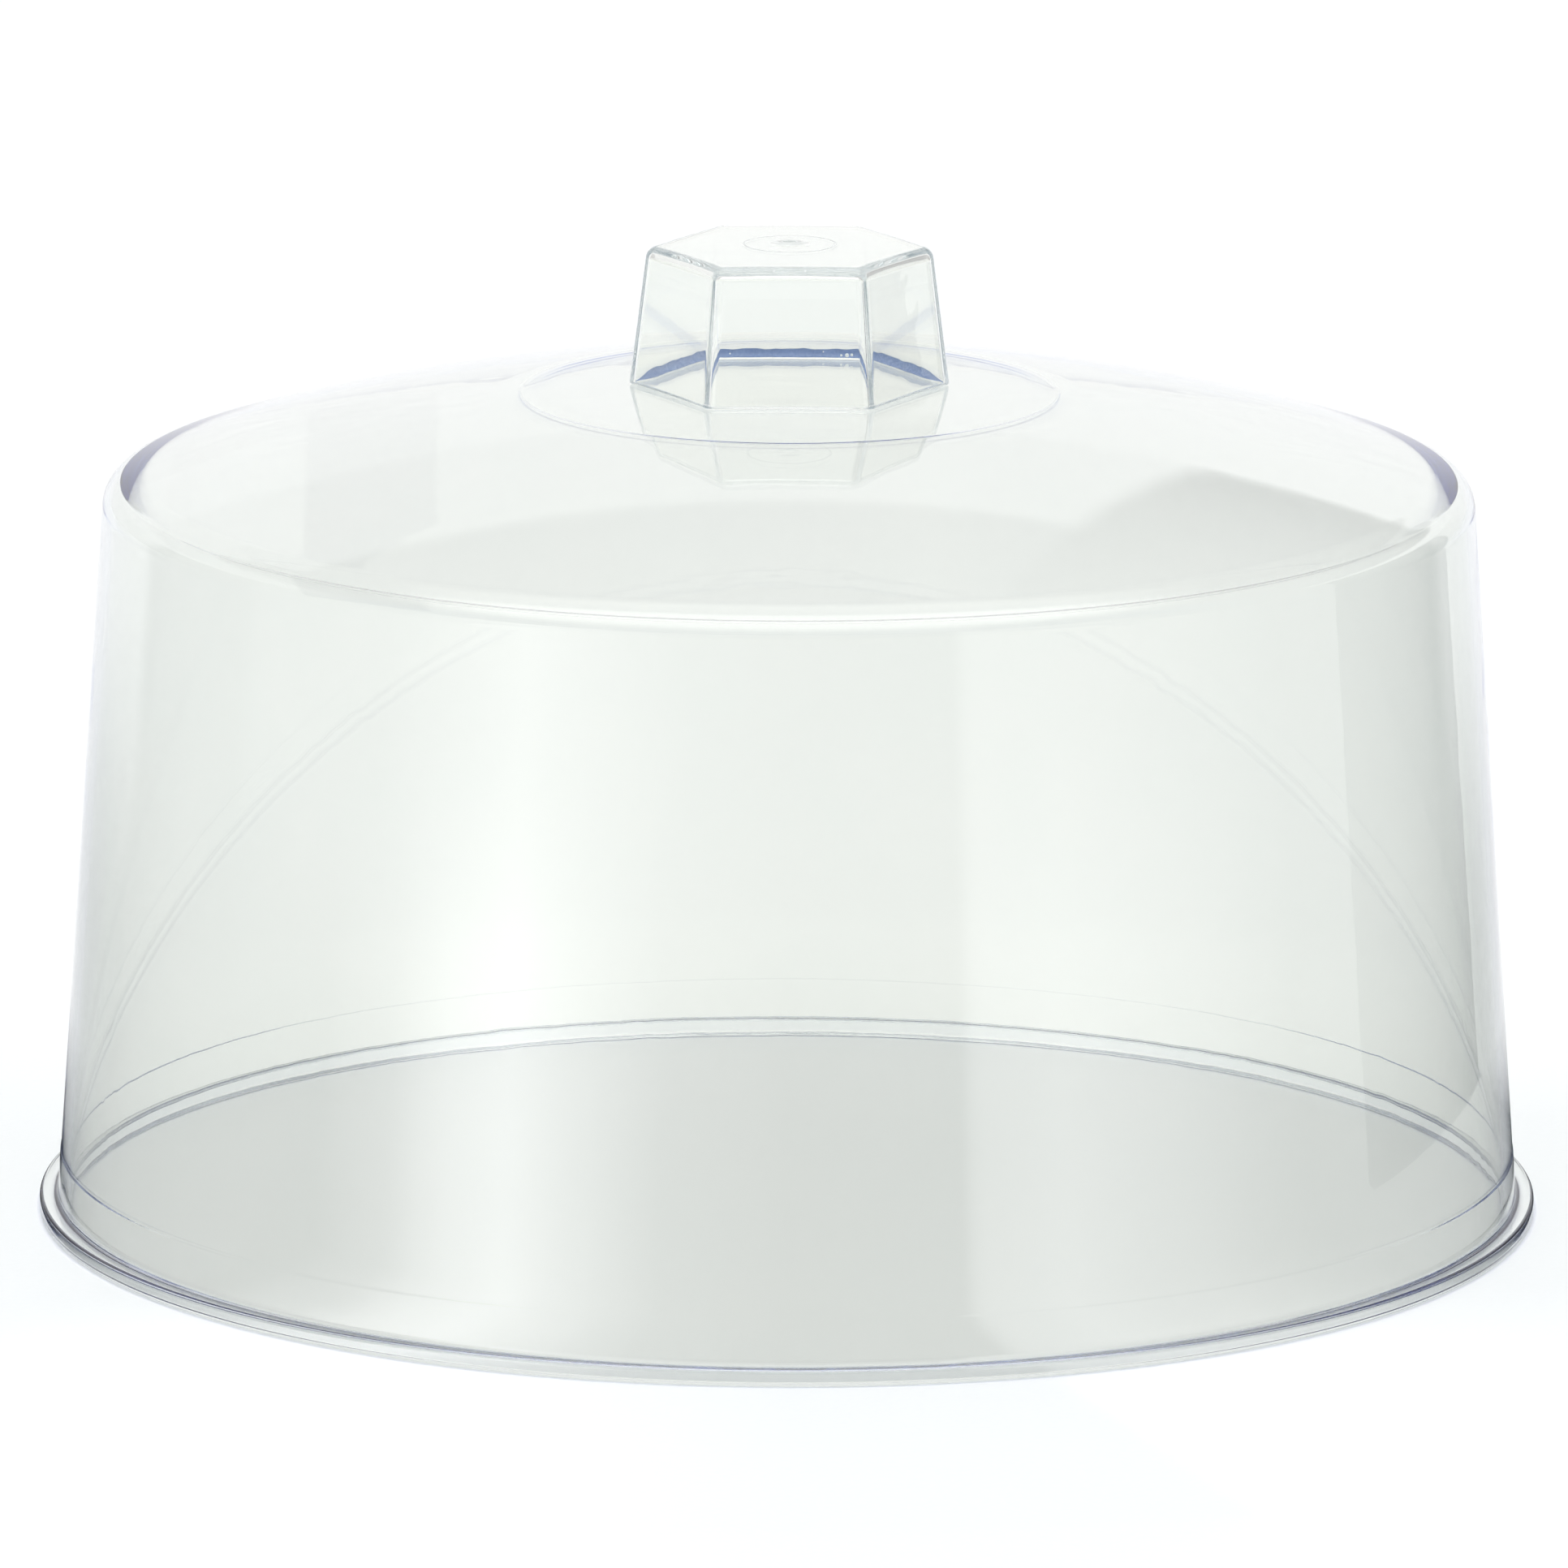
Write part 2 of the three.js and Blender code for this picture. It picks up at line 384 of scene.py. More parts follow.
@dataclass(frozen=True)
class PaleTable(Finish):
    """The matt pale laminate that the cover stands on.

    Attributes:
        colour: Its colour.
        speckle: Colour of its faint speckle.
        speckle_mm: Size of the speckle.
    """

    name: str = "pale_laminate_table"
    colour: str = "fafbfb"
    speckle: str = "f5f7f7"
    speckle_mm: float = 1.5

    def nodes(self, tree: Tree, place: Socket) -> Mapping[str, Socket]:
        """A matt colour with a faint speckle."""
        speckle = noise(tree, place, self.speckle_mm, Detail=3.0)
        colour = blend(tree, speckle, self.colour, self.speckle)
        return principled(tree, colour, 0.7, Specular_IOR_Level=0.25)


# --- Meshes from grids ---


def mesh_object(
    name: str, vertices: np.ndarray, faces: np.ndarray, caps: Sequence[np.ndarray]
) -> Object:
    """Make a smooth-shaded mesh object at the origin.

    Args:
        name: Name of the object and of its mesh.
        vertices: Points in metres, one row each.
        faces: Corner indices of the four-sided faces, one row each.
        caps: Further face arrays, such as the triangles that close a pole.

    Returns:
        The linked object.
    """
    mesh = bpy.data.meshes.new(name)
    groups = [faces, *caps]
    loops = np.concatenate([g.ravel() for g in groups]).astype(np.int32)
    totals = np.concatenate([np.full(len(g), g.shape[1]) for g in groups]).astype(np.int32)
    starts = np.concatenate([[0], np.cumsum(totals)[:-1]]).astype(np.int32)
    mesh.vertices.add(len(vertices))
    mesh.vertices.foreach_set("co", np.ascontiguousarray(vertices, dtype=np.float32).ravel())
    mesh.loops.add(len(loops))
    mesh.loops.foreach_set("vertex_index", loops)
    mesh.polygons.add(len(totals))
    mesh.polygons.foreach_set("loop_start", starts)
    mesh.polygons.foreach_set("loop_total", totals)
    mesh.polygons.foreach_set("use_smooth", np.ones(len(totals), dtype=bool))
    mesh.update(calc_edges=True)
    mesh.validate()
    obj = bpy.data.objects.new(name, mesh)
    bpy.context.scene.collection.objects.link(obj)
    return obj


def ring_faces(rings: int, around: int, closed: bool) -> np.ndarray:
    """Corner indices of the faces between rings of points.

    Face (k, i) joins points i and i + 1 of ring k to the same points of ring k + 1, counted modulo
    the ring's length, so that rings which climb while they turn counter-clockwise face away from
    the axis.

    Args:
        rings: Number of rings.
        around: Points in each ring.
        closed: True if the last ring joins the first.

    Returns:
        One row of four indices per face.
    """
    k = np.arange(rings if closed else rings - 1)[:, None]
    i = np.arange(around)[None, :]
    j = (i + 1) % around
    low, high = k * around, ((k + 1) % rings) * around
    corners = np.broadcast_arrays(low + i, low + j, high + j, high + i)
    return np.stack(corners, axis=-1).reshape(-1, 4)


def fan(tip: int, first: int, around: int, upward: bool) -> np.ndarray:
    """Triangles that close one end ring on a single pole point.

    Args:
        tip: Index of the pole point.
        first: Index of the ring's first point.
        around: Points in the ring.
        upward: True if the fan faces up the axis.

    Returns:
        One row of three indices per triangle.
    """
    i = first + np.arange(around)
    j = first + (np.arange(around) + 1) % around
    tips = np.full(around, tip)
    return np.stack([tips, i, j] if upward else [tips, j, i], axis=1)


def poled_object(name: str, rings: Sequence[np.ndarray], finish: Finish) -> Object:
    """Skin a run of equal rings and close both ends on the axis.

    Args:
        name: Name of the object.
        rings: (x, y, z) rows of each ring, in millimetres.
        finish: Its finish.

    Returns:
        The object.
    """
    around = len(rings[0])
    count = len(rings) * around
    poles = [[0.0, 0.0, rings[0][0, 2]], [0.0, 0.0, rings[-1][0, 2]]]
    bottom = fan(count, 0, around, upward=False)
    top = fan(count + 1, count - around, around, upward=True)
    faces = ring_faces(len(rings), around, False)
    made = mesh_object(name, np.concatenate([*rings, poles]) * MM, faces, [bottom, top])
    made.data.materials.append(finish.material())
    return made


def arc(centre: Pair, radius: float, start: float, end: float, count: int) -> np.ndarray:
    """Points on a circle: centre plus radius times (cosine, sine) of an angle that runs evenly.

    Args:
        centre: Centre as (r, z).
        radius: Radius.
        start: First angle in degrees.
        end: Last angle in degrees.
        count: Number of points.

    Returns:
        One (r, z) row per point.
    """
    t = np.radians(np.linspace(start, end, count))
    return np.stack([centre[0] + radius * np.cos(t), centre[1] + radius * np.sin(t)], axis=1)


def smoothstep(low: float, high: float, x: np.ndarray) -> np.ndarray:
    """Zero below low, one above high, and 3t squared minus 2t cubed between."""
    t = np.clip((x - low) / (high - low), 0.0, 1.0)
    return t * t * (3.0 - 2.0 * t)


def straight(
    start: Sequence[float], end: Sequence[float], count: int, margin: float = 0.12
) -> np.ndarray:
    """Points along a straight line, from close to one end to close to the other.

    The points run evenly between two places a margin from the ends, so that smooth shading bends
    only over that margin where the line meets a curve. Neither end point itself is included.

    Args:
        start: First end as (r, z).
        end: Last end as (r, z).
        count: Number of even points between the two margins.
        margin: Distance of the extra points from the ends.

    Returns:
        One (r, z) row per point.
    """
    a, b = np.array(start), np.array(end)
    length = float(np.hypot(*(b - a)))
    inset = min(margin, length * 0.2)
    t = np.linspace(inset / length, 1.0 - inset / length, count + 2)
    return a + (b - a) * t[:, None]


def waves(angle: np.ndarray, *terms: tuple[float, int, float]) -> np.ndarray:
    """A sum of sine waves, each given as (size, count round the circle, start in radians)."""
    return sum(size * np.sin(count * angle + start) for size, count, start in terms)


# --- Pieces ---


@dataclass
class Cover:
    """The cover moulding: turned-out rim, drafted wall, rounded shoulder, shallow crown with a
    centre pad.

    Attributes:
        rim_thickness: Thickness of the rim, with the radius of its rounded edges in rim_edge_round.
        rim_fillet: Radius between rim and wall, and inner_lip_round inside the foot.
        rim_radius: Outer radius of the rim, from the CAD node's box.
        wall: Thickness of wall and crown.
        step_height: Height of the fine line where the wall steps in, step_proud deep over step_run.
        step_radius: Outer radius of the wall there.
        crown_sphere: Radius of the crown, with its top at crown_apex.
        shoulder_round: Outer radius of the shoulder.
        pad_radius: Radius of the centre pad, whose ring is pad_proud high over pad_run.
        pad_margin: From that ring to the next point either side.
        pad_sphere: Radius of the pad's own dome.
        waver: How far the foot of the wall wavers in and out where the melt met the rim.
        waver_height: Height where it wavers most.
        waver_reach: Distance above and below over which that fades.
        waver_inset: Width of the rim's outer edge that stays true.
        around: Points around the axis.
    """

    node: str = "cover_shell"
    slot: str = "clear_moulding"
    rim_thickness: float = 3.2
    rim_edge_round: float = 0.9
    rim_fillet: float = 1.0
    inner_lip_round: float = 0.35
    wall: float = 2.0
    step_height: float = 12.1
    step_radius: float = 148.0
    step_proud: float = 0.12
    step_run: float = 0.45
    draft_degrees: float = 3.95
    crown_sphere: float = 440.0
    crown_apex: float = 171.6
    shoulder_round: float = 5.3
    pad_radius: float = 54.8
    pad_proud: float = 0.08
    pad_run: float = 0.8
    pad_margin: float = 0.1
    pad_sphere: float = 730.0
    around: int = 400
    waver: float = 0.035
    waver_height: float = 5.0
    waver_reach: float = 3.5
    waver_inset: float = 2.0
    finish: PolishedSan = PolishedSan("cover_clear_san")

    def __post_init__(self) -> None:
        """Take the rim's radius from the CAD node and work out the slopes."""
        low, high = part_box(self.node)
        self.rim_radius = (high[0] - low[0]) / 2.0 / MM
        self.draft = math.tan(math.radians(self.draft_degrees))

    def crown(self, r: np.ndarray | float) -> np.ndarray | float:
        """Height of the crown's sphere at radius r: apex minus the sphere's sagitta."""
        return self.crown_apex - self.crown_sphere + np.sqrt(self.crown_sphere**2 - np.square(r))

    def pad(self, r: np.ndarray | float) -> np.ndarray | float:
        """Height of the flatter pad at radius r: its proud edge plus its own sphere's sagitta
        there."""
        root = np.sqrt(self.pad_sphere**2 - np.square(r))
        edge = math.sqrt(self.pad_sphere**2 - self.pad_radius**2)
        return self.crown(self.pad_radius) + self.pad_proud + root - edge

    def wall_outer(self, z: float) -> float:
        """Outer radius of the wall at height z, above the fine line."""
        return self.step_radius - self.draft * (z - self.step_height)

    def shoulder_centre(self) -> Pair:
        """Centre of the shoulder's arc, one arc radius inside both the wall's line and the
        crown's sphere."""
        r, z = 0.0, self.crown_apex - self.shoulder_round
        sphere = self.crown_sphere - self.shoulder_round
        for _ in range(40):
            r = self.wall_outer(z) - self.shoulder_round * math.hypot(1.0, self.draft)
            z = self.crown_apex - self.crown_sphere + math.sqrt(sphere**2 - r**2)
        return r, z

    def profile(self) -> np.ndarray:
        """The closed wall section as (r, z), from the inside of the crown round the rim to the
        outside.

        The first and last rows lie a hair off the axis and are closed by fans.

        Returns:
            One row per ring, in millimetres.
        """
        sr, sz = self.shoulder_centre()
        wall_angle = math.degrees(math.atan(self.draft))
        crown_angle = math.degrees(math.atan2(sz - self.crown_apex + self.crown_sphere, sr))
        inner = arc((sr, sz), self.shoulder_round - self.wall, crown_angle, wall_angle, 16)
        outer = arc((sr, sz), self.shoulder_round, wall_angle, crown_angle, 20)

        inside_r = np.linspace(POLE_RADIUS, inner[0, 0] - MARGIN, 26)
        inside_z = np.minimum(self.crown(inside_r), self.pad(inside_r)) - self.wall
        inside = np.stack([inside_r, inside_z], axis=1)

        lip = self.inner_lip_round
        foot_r = self.wall_outer(0.0) - self.wall
        lip_arc = arc((foot_r + lip, lip), lip, 180.0, 270.0, 5)

        edge_r, edge = self.rim_radius - self.rim_edge_round, self.rim_edge_round
        under_arc = arc((edge_r, edge), edge, -90.0, 0.0, 9)
        over_arc = arc((edge_r, self.rim_thickness - edge), edge, 0.0, 90.0, 9)

        foot_line = self.rim_thickness + self.rim_fillet
        fillet_r = self.wall_outer(foot_line) + self.step_proud + self.rim_fillet
        fillet = arc((fillet_r, foot_line), self.rim_fillet, 270.0, 180.0, 10)

        step_low = (self.wall_outer(self.step_height) + self.step_proud, self.step_height)
        step_t = np.linspace(0.0, 1.0, 7)
        step_z = self.step_height + self.step_run * step_t
        step_r = (
            self.step_radius - self.draft * (step_z - self.step_height)
            + self.step_proud * (1.0 - smoothstep(0.0, 1.0, step_t))
        )
        step = np.stack([step_r, step_z], axis=1)

        crown_r = np.linspace(outer[-1, 0] - MARGIN, self.pad_radius + self.pad_margin, 30)
        crown = np.stack([crown_r, self.crown(crown_r)], axis=1)
        ring_r = np.linspace(self.pad_radius, self.pad_radius - self.pad_run, 9)
        share = smoothstep(self.pad_radius - self.pad_run, self.pad_radius, ring_r)
        ring_z = self.pad(ring_r) * (1 - share) + self.crown(ring_r) * share
        ring = np.stack([ring_r, ring_z], axis=1)
        pad_r = np.linspace(self.pad_radius - self.pad_run - self.pad_margin, POLE_RADIUS, 18)
        pad = np.stack([pad_r, self.pad(pad_r)], axis=1)

        return np.concatenate(
            [
                inside, inner,
                straight(inner[-1], lip_arc[0], 30), lip_arc,
                straight(lip_arc[-1], under_arc[0], 2), under_arc, over_arc,
                straight(over_arc[-1], fillet[0], 1, 0.08), fillet,
                straight(fillet[-1], step_low, 3), step,
                straight(step[-1], outer[0], 30), outer, crown, ring, pad,
            ]
        )

    def build(self) -> Object:
        """Turn the profile about the axis and close it at both poles.

        Each point is (r cos a, r sin a, z), with a evenly spaced. Near the foot r gains three sine
        waves of a with unlike counts, times a bell curve of the height. The rim's outer edge gains
        none.

        Returns:
            The cover's object.
        """
        section = self.profile()
        a = TAU * np.arange(self.around) / self.around
        bell = np.exp(-(((section[:, 1] - self.waver_height) / self.waver_reach) ** 2))
        bell = np.where(section[:, 0] < self.rim_radius - self.waver_inset, bell, 0.0)
        gain = self.waver * bell[:, None] * waves(a, (1.0, 23, 1.0), (0.8, 37, 2.0), (0.6, 49, 0.3))
        r = section[:, 0, None] + gain
        z = np.broadcast_to(section[:, 1, None], r.shape)
        grid = np.stack([r * np.cos(a), r * np.sin(a), z], axis=-1)
        return poled_object("cover_shell_clear", grid, self.finish)


def hexagon(flat: float, corner: float, side: int = 14, bend: int = 9) -> np.ndarray:
    """A hexagon with rounded corners, as (x, y) rows, counter-clockwise from a flat that faces -Y.

    Each sixth is a straight side at distance `flat` from the axis, with its points crowded to the
    ends by a cosine, then a 60 degree arc of radius `corner`. The sixth is turned by multiples of
    60 degrees.

    Args:
        flat: Axis to flat.
        corner: Radius of the corners.
        side: Points along a side.
        bend: Points around a corner, its two ends included.

    Returns:
        One row per point.
    """
    half = (flat - corner) * math.tan(math.pi / 6.0)
    t = -np.cos(np.linspace(0.0, math.pi, side + 2)[1:-1])
    along = np.stack([half * t, np.full(side, -flat)], axis=1)
    angle = np.linspace(-math.pi / 2.0, -math.pi / 6.0, bend)
    turn = np.stack([half + corner * np.cos(angle), corner - flat + corner * np.sin(angle)], axis=1)
    sixth = np.concatenate([along, turn])
    a = TAU * np.arange(6)[:, None] / 6.0
    x = sixth[:, 0] * np.cos(a) - sixth[:, 1] * np.sin(a)
    y = sixth[:, 0] * np.sin(a) + sixth[:, 1] * np.cos(a)
    return np.stack([x, y], axis=-1).reshape(-1, 2)


def circle_like(radius: float, section: np.ndarray) -> np.ndarray:
    """A circle with one point on the bearing of each point of a section."""
    return section / np.hypot(section[:, 0], section[:, 1])[:, None] * radius


def at_height(section: np.ndarray, z: np.ndarray | float) -> np.ndarray:
    """A section of (x, y) rows with its height or heights added."""
    return np.column_stack([section, np.broadcast_to(z, len(section))])


@dataclass
class Knob:
    """The hollow hexagonal knob.

    Attributes:
        cover: The cover whose pad it stands on.
        top: Height of the top at its edge.
        foot_flat: Axis to flat at the foot, less by taper for each unit of height.
        corner: Radius of the outer corners.
        edge_round: Radius of the top edge, with edge_margin to the next ring below.
        wall_foot: Thickness of the wall at the foot, and wall_top under the roof.
        roof: Thickness of the roof, with roof_round inside its edge.
        foot_round: Radius of the foot's edges.
        margin: From a rounded edge to the next ring on the wall at the foot, and lip_margin close
            above it.
        swell: How far the top swells at the axis, with swell_radius where that ends.
        disc_radius: Radius of the witness disc, cut round by the groove.
        gate_radius: Radius of the gate dimple.
        gap: Thin film of cement between foot and pad.
        least_corners: Smallest radius of the inner and of the outer corners.
    """

    cover: Cover
    node: str = "hex_knob"
    slot: str = "clear_knob"
    top: float = 198.0
    foot_flat: float = 28.4
    taper: float = 0.11
    corner: float = 3.4
    edge_round: float = 2.2
    edge_margin: float = 0.12
    wall_foot: float = 1.9
    wall_top: float = 1.6
    roof: float = 2.0
    roof_round: float = 0.9
    foot_round: float = 0.25
    margin: float = 0.9
    lip_margin: float = 0.2
    swell: float = 0.55
    swell_radius: float = 26.0
    disc_radius: float = 9.5
    groove_depth: float = 0.1
    groove_width: float = 0.5
    gate_radius: float = 4.4
    gate_depth: float = 0.28
    gap: float = 0.3
    least_corners: Pair = (0.5, 0.8)
    finish: PolishedSan = PolishedSan(
        "knob_clear_san", tint_light="fbfcf9", tint_flow="f9faf7", absorb="7fa3b4", density=4.0
    )

    def __post_init__(self) -> None:
        """Find the foot's height above the pad."""
        self.foot = float(self.cover.pad(self.foot_flat)) + self.gap

    def outer_flat(self, z: float) -> float:
        """Axis to flat of the outside at height z."""
        return self.foot_flat - self.taper * (z - self.foot)

    def wall(self, z: float) -> float:
        """Thickness of the wall at height z: it thins evenly from foot to roof."""
        rise = (z - self.foot) / (self.top - self.roof - self.foot)
        return self.wall_foot + (self.wall_top - self.wall_foot) * rise

    def inside(self, z: float, inset: float = 0.0) -> np.ndarray:
        """The inner outline at height z, its corners struck from the same centres as the outer
        ones."""
        wall = self.wall(z)
        corner = max(self.corner - wall - inset, self.least_corners[0])
        return hexagon(self.outer_flat(z) - wall - inset, corner)

    def outside(self, z: float, inset: float = 0.0) -> np.ndarray:
        """The outer outline at height z, its corners tightening as it is drawn in."""
        return hexagon(self.outer_flat(z) - inset, max(self.corner - inset, self.least_corners[1]))

    def joint_flat(self) -> float:
        """Axis to flat of the joint's inner outline, one gap inside the wall at the foot."""
        return self.outer_flat(self.foot) - self.wall(self.foot) - self.gap

    def swelling(self, section: np.ndarray) -> np.ndarray:
        """How far the top and the roof under it swell at a section: a shallow paraboloid about
        the axis."""
        share = np.hypot(section[:, 0], section[:, 1]) / self.swell_radius
        return self.swell * (1.0 - np.minimum(share, 1.0) ** 2)

    def roofed(self, section: np.ndarray, z: float) -> np.ndarray:
        """A section laid on the swelling top or roof, whose height at the swelling's edge is z."""
        return at_height(section, z + self.swelling(section))

    def foot_ring(self, section: np.ndarray) -> np.ndarray:
        """A section laid on the pad, one gap above it."""
        return at_height(section, self.cover.pad(np.hypot(section[:, 0], section[:, 1])) + self.gap)

    def lower_rings(self) -> list[np.ndarray]:
        """Rings of points from the middle of the roof's underside, down the inside and round the
        foot."""
        rings: list[np.ndarray] = []
        roof = self.top - self.roof
        under = self.inside(roof, self.roof_round)
        for share in (0.06, 0.25, 0.5, 0.75, 1.0):
            rings.append(self.roofed(circle_like(self.disc_radius * share, under), roof))
        for share in (0.2, 0.4, 0.6, 0.8, 0.97):
            mixed = circle_like(self.disc_radius, under) * (1 - share) + under * share
            rings.append(self.roofed(mixed, roof))
        for t in np.radians(np.linspace(90.0, 0.0, 9)):
            z = roof - self.roof_round * (1.0 - math.sin(t))
            section = self.inside(z, self.roof_round * (1.0 - math.cos(t)))
            rings.append(at_height(section, z + self.swelling(section) * math.sin(t)))
        for z in np.linspace(roof - self.roof_round - MARGIN, self.foot + self.margin, 12):
            rings.append(at_height(self.inside(float(z)), float(z)))
        lip = self.foot_round
        rings.append(self.foot_ring(self.inside(self.foot)) + [0, 0, lip + self.lip_margin])
        for outline, first, last in ((self.inside, 0.0, 90.0), (self.outside, 90.0, 0.0)):
            side = -1.0 if outline == self.inside else 1.0
            for t in np.radians(np.linspace(first, last, 5)):
                rise, spread = lip * (1.0 - math.sin(t)), lip * (1.0 - math.cos(t))
                rings.append(self.foot_ring(outline(self.foot, side * spread)) + [0, 0, rise])
        rings.append(self.foot_ring(self.outside(self.foot)) + [0, 0, lip + self.lip_margin])
        return rings

    def upper_rings(self) -> list[np.ndarray]:
        """Rings of points up the outside and over the top to its middle."""
        rings: list[np.ndarray] = []
        shoulder = self.top - self.edge_round
        for z in np.linspace(self.foot + self.margin, shoulder - self.edge_margin, 12):
            rings.append(at_height(self.outside(float(z)), float(z)))
        for t in np.radians(np.linspace(0.0, 90.0, 14)):
            z = shoulder + self.edge_round * math.sin(t)
            section = self.outside(z, self.edge_round * (1.0 - math.cos(t)))
            rings.append(at_height(section, z + self.swelling(section) * math.sin(t)))

        outline = self.outside(self.top, self.edge_round)
        rim = circle_like(self.disc_radius, outline)
        for share in np.linspace(0.03, 0.99, 10):
            rings.append(self.roofed(outline * (1 - share) + rim * share, self.top))
        mid = self.groove_width / 2.0
        for inset, drop in ((0.0, 0.0), (0.5, 0.5), (1.0, 1.0), (1.5, 0.5), (2.0, 0.0)):
            section = circle_like(self.disc_radius - mid * inset, outline)
            rings.append(self.roofed(section, self.top - self.groove_depth * drop))
        for radius in np.linspace(self.disc_radius - mid * 2.6, self.gate_radius * 1.04, 4):
            rings.append(self.roofed(circle_like(float(radius), outline), self.top))
        for share in np.linspace(1.0, 0.06, 14):
            drop = self.gate_depth * float(smoothstep(0.0, 1.0, np.array((1.0 - share) / 0.8)))
            section = circle_like(self.gate_radius * float(share), outline)
            rings.append(self.roofed(section, self.top - drop))
        return rings

    def build(self) -> Object:
        """Skin the rings and close both ends on the axis.

        Returns:
            The knob's object.
        """
        return poled_object("hex_knob_clear", self.lower_rings() + self.upper_rings(), self.finish)


@dataclass
class CementBead:
    """The bead of cement inside the knob's foot, run in by hand and fuller at the back.

    Attributes:
        knob: The knob whose foot it seals.
        height: Height and width of the bead where it is full.
        thin_share: What is left of that where it thins out.
        full_share: What the waves of its edge swing about where it is full.
        corner: Radius of its outer corners.
    """

    knob: Knob
    node: str = "cement_bead"
    slot: str = "solvent_cement"
    height: float = 1.8
    thin_share: float = 0.03
    full_share: float = 0.92
    corner: float = 1.0
    finish: DriedCement = DriedCement()
    froth: TrappedAir = TrappedAir()

    def fullness(self, section: np.ndarray) -> np.ndarray:
        """How full the bead is at each point of a section.

        It rises smoothly from thin at the front to full at the back, and three sine waves of the
        bearing with unlike counts make its edge uneven.

        Args:
            section: (x, y) rows.

        Returns:
            A share of the full size for each row.
        """
        bearing = np.arctan2(section[:, 1], section[:, 0])
        back = smoothstep(-0.02, 0.22, np.sin(bearing))
        uneven = waves(bearing, (0.05, 17, 1.1), (0.04, 31, 0.4), (0.03, 53, 0.0))
        return self.thin_share + (self.full_share - self.thin_share + uneven) * back

    def build(self) -> Object:
        """Carry the bead's hollow-faced section round the knob's inner foot.

        The section has the wall side, the pad side and a quarter-circle hollow between them.

        Returns:
            The bead's object.
        """
        knob = self.knob
        base = hexagon(knob.joint_flat(), self.corner, side=40)
        full = self.fullness(base) * self.height

        def ring(inset_share: float, rise_share: float) -> np.ndarray:
            """One ring, moved in and up by shares of the local size."""
            radius = np.hypot(base[:, 0], base[:, 1])
            lean = knob.taper * rise_share * full
            moved = base * (1.0 - (inset_share * full + lean) / radius)[:, None]
            foot = knob.cover.pad(np.hypot(moved[:, 0], moved[:, 1])) + knob.gap
            return at_height(moved, foot + rise_share * full)

        hollow = np.radians(np.linspace(180.0, 270.0, 9))
        flats = ((0.94, 0.0), (0.5, 0.0), (0.04, 0.0), (0.0, 0.04), (0.0, 0.5), (0.0, 0.95))
        rings = [ring(*shares) for shares in flats]
        rings += [ring(1.0 + float(np.cos(t)), 1.0 + float(np.sin(t))) for t in hollow[1:-1]]
        faces = ring_faces(len(rings), len(base), True)
        made = mesh_object("cement_bead_uneven", np.concatenate(rings) * MM, faces, [])
        made.data.materials.append(self.finish.material())
        return made


@dataclass
class Bubbles:
    """Small air bubbles caught in the bead along the back of the joint.

    Attributes:
        bead: The bead that holds them.
        places: Each bubble's bearing in degrees, height share up the bead and radius in
            millimetres.
        around: Points round a bubble.
        inset: From the joint's outline to the bubbles' centres.
        height_share: Share of the bead's height that a height share of one stands for.
    """

    bead: CementBead
    places: tuple[tuple[float, float, float], ...] = (
        (97.0, 0.55, 0.20), (63.0, 0.50, 0.42), (60.5, 0.62, 0.30), (66.0, 0.42, 0.24),
        (54.0, 0.35, 0.26), (118.0, 0.70, 0.16), (141.0, 0.50, 0.22), (35.0, 0.55, 0.18),
        (82.0, 0.30, 0.14), (75.0, 0.62, 0.16),
    )
    around: int = 14
    inset: float = 0.45
    height_share: float = 0.9

    def build(self) -> Object:
        """Set a small closed ball at each place: rings of radius r sin(b) at height r cos(b).

        Returns:
            One object that holds every bubble.
        """
        knob = self.bead.knob
        a = TAU * np.arange(self.around) / self.around
        b = np.linspace(0.12 * math.pi, 0.88 * math.pi, 7)[::-1]
        flat_ring = np.stack([np.cos(a), np.sin(a)], axis=1)
        ball = np.concatenate([at_height(flat_ring * np.sin(t), np.cos(t)) for t in b])
        ball = np.concatenate([ball, [[0.0, 0.0, -1.0], [0.0, 0.0, 1.0]]])
        count = len(b) * self.around
        quads = ring_faces(len(b), self.around, False)
        bottom = fan(count, 0, self.around, upward=False)
        top = fan(count + 1, count - self.around, self.around, upward=True)
        ends = np.concatenate([bottom, top])
        points, faces, caps = [], [], []
        for index, (bearing, rise, radius) in enumerate(self.places):
            turn = math.radians(bearing)
            fold = (turn + math.pi / 6.0) % (math.pi / 3.0) - math.pi / 6.0
            reach = (knob.joint_flat() - self.inset) / math.cos(fold)
            up = knob.cover.pad(reach) + knob.gap + rise * self.bead.height * self.height_share
            points.append(ball * radius + [reach * math.cos(turn), reach * math.sin(turn), up])
            faces.append(quads + index * len(ball))
            caps.append(ends + index * len(ball))
        vertices = np.concatenate(points) * MM
        made = mesh_object(
            "cement_bubbles", vertices, np.concatenate(faces), [np.concatenate(caps)]
        )
        made.data.materials.append(self.bead.froth.material())
        return made


# --- Studio ---


class CardKind(Enum):
    """What a card is for.

    A white ring seen in outer reflections, a dark flag seen in inner ones, and a scrim that shades
    the table.
    """

    WHITE_RING = "studio_card_ring"
    DARK_FLAG = "studio_dark_flag"
    SCRIM = "studio_scrim"


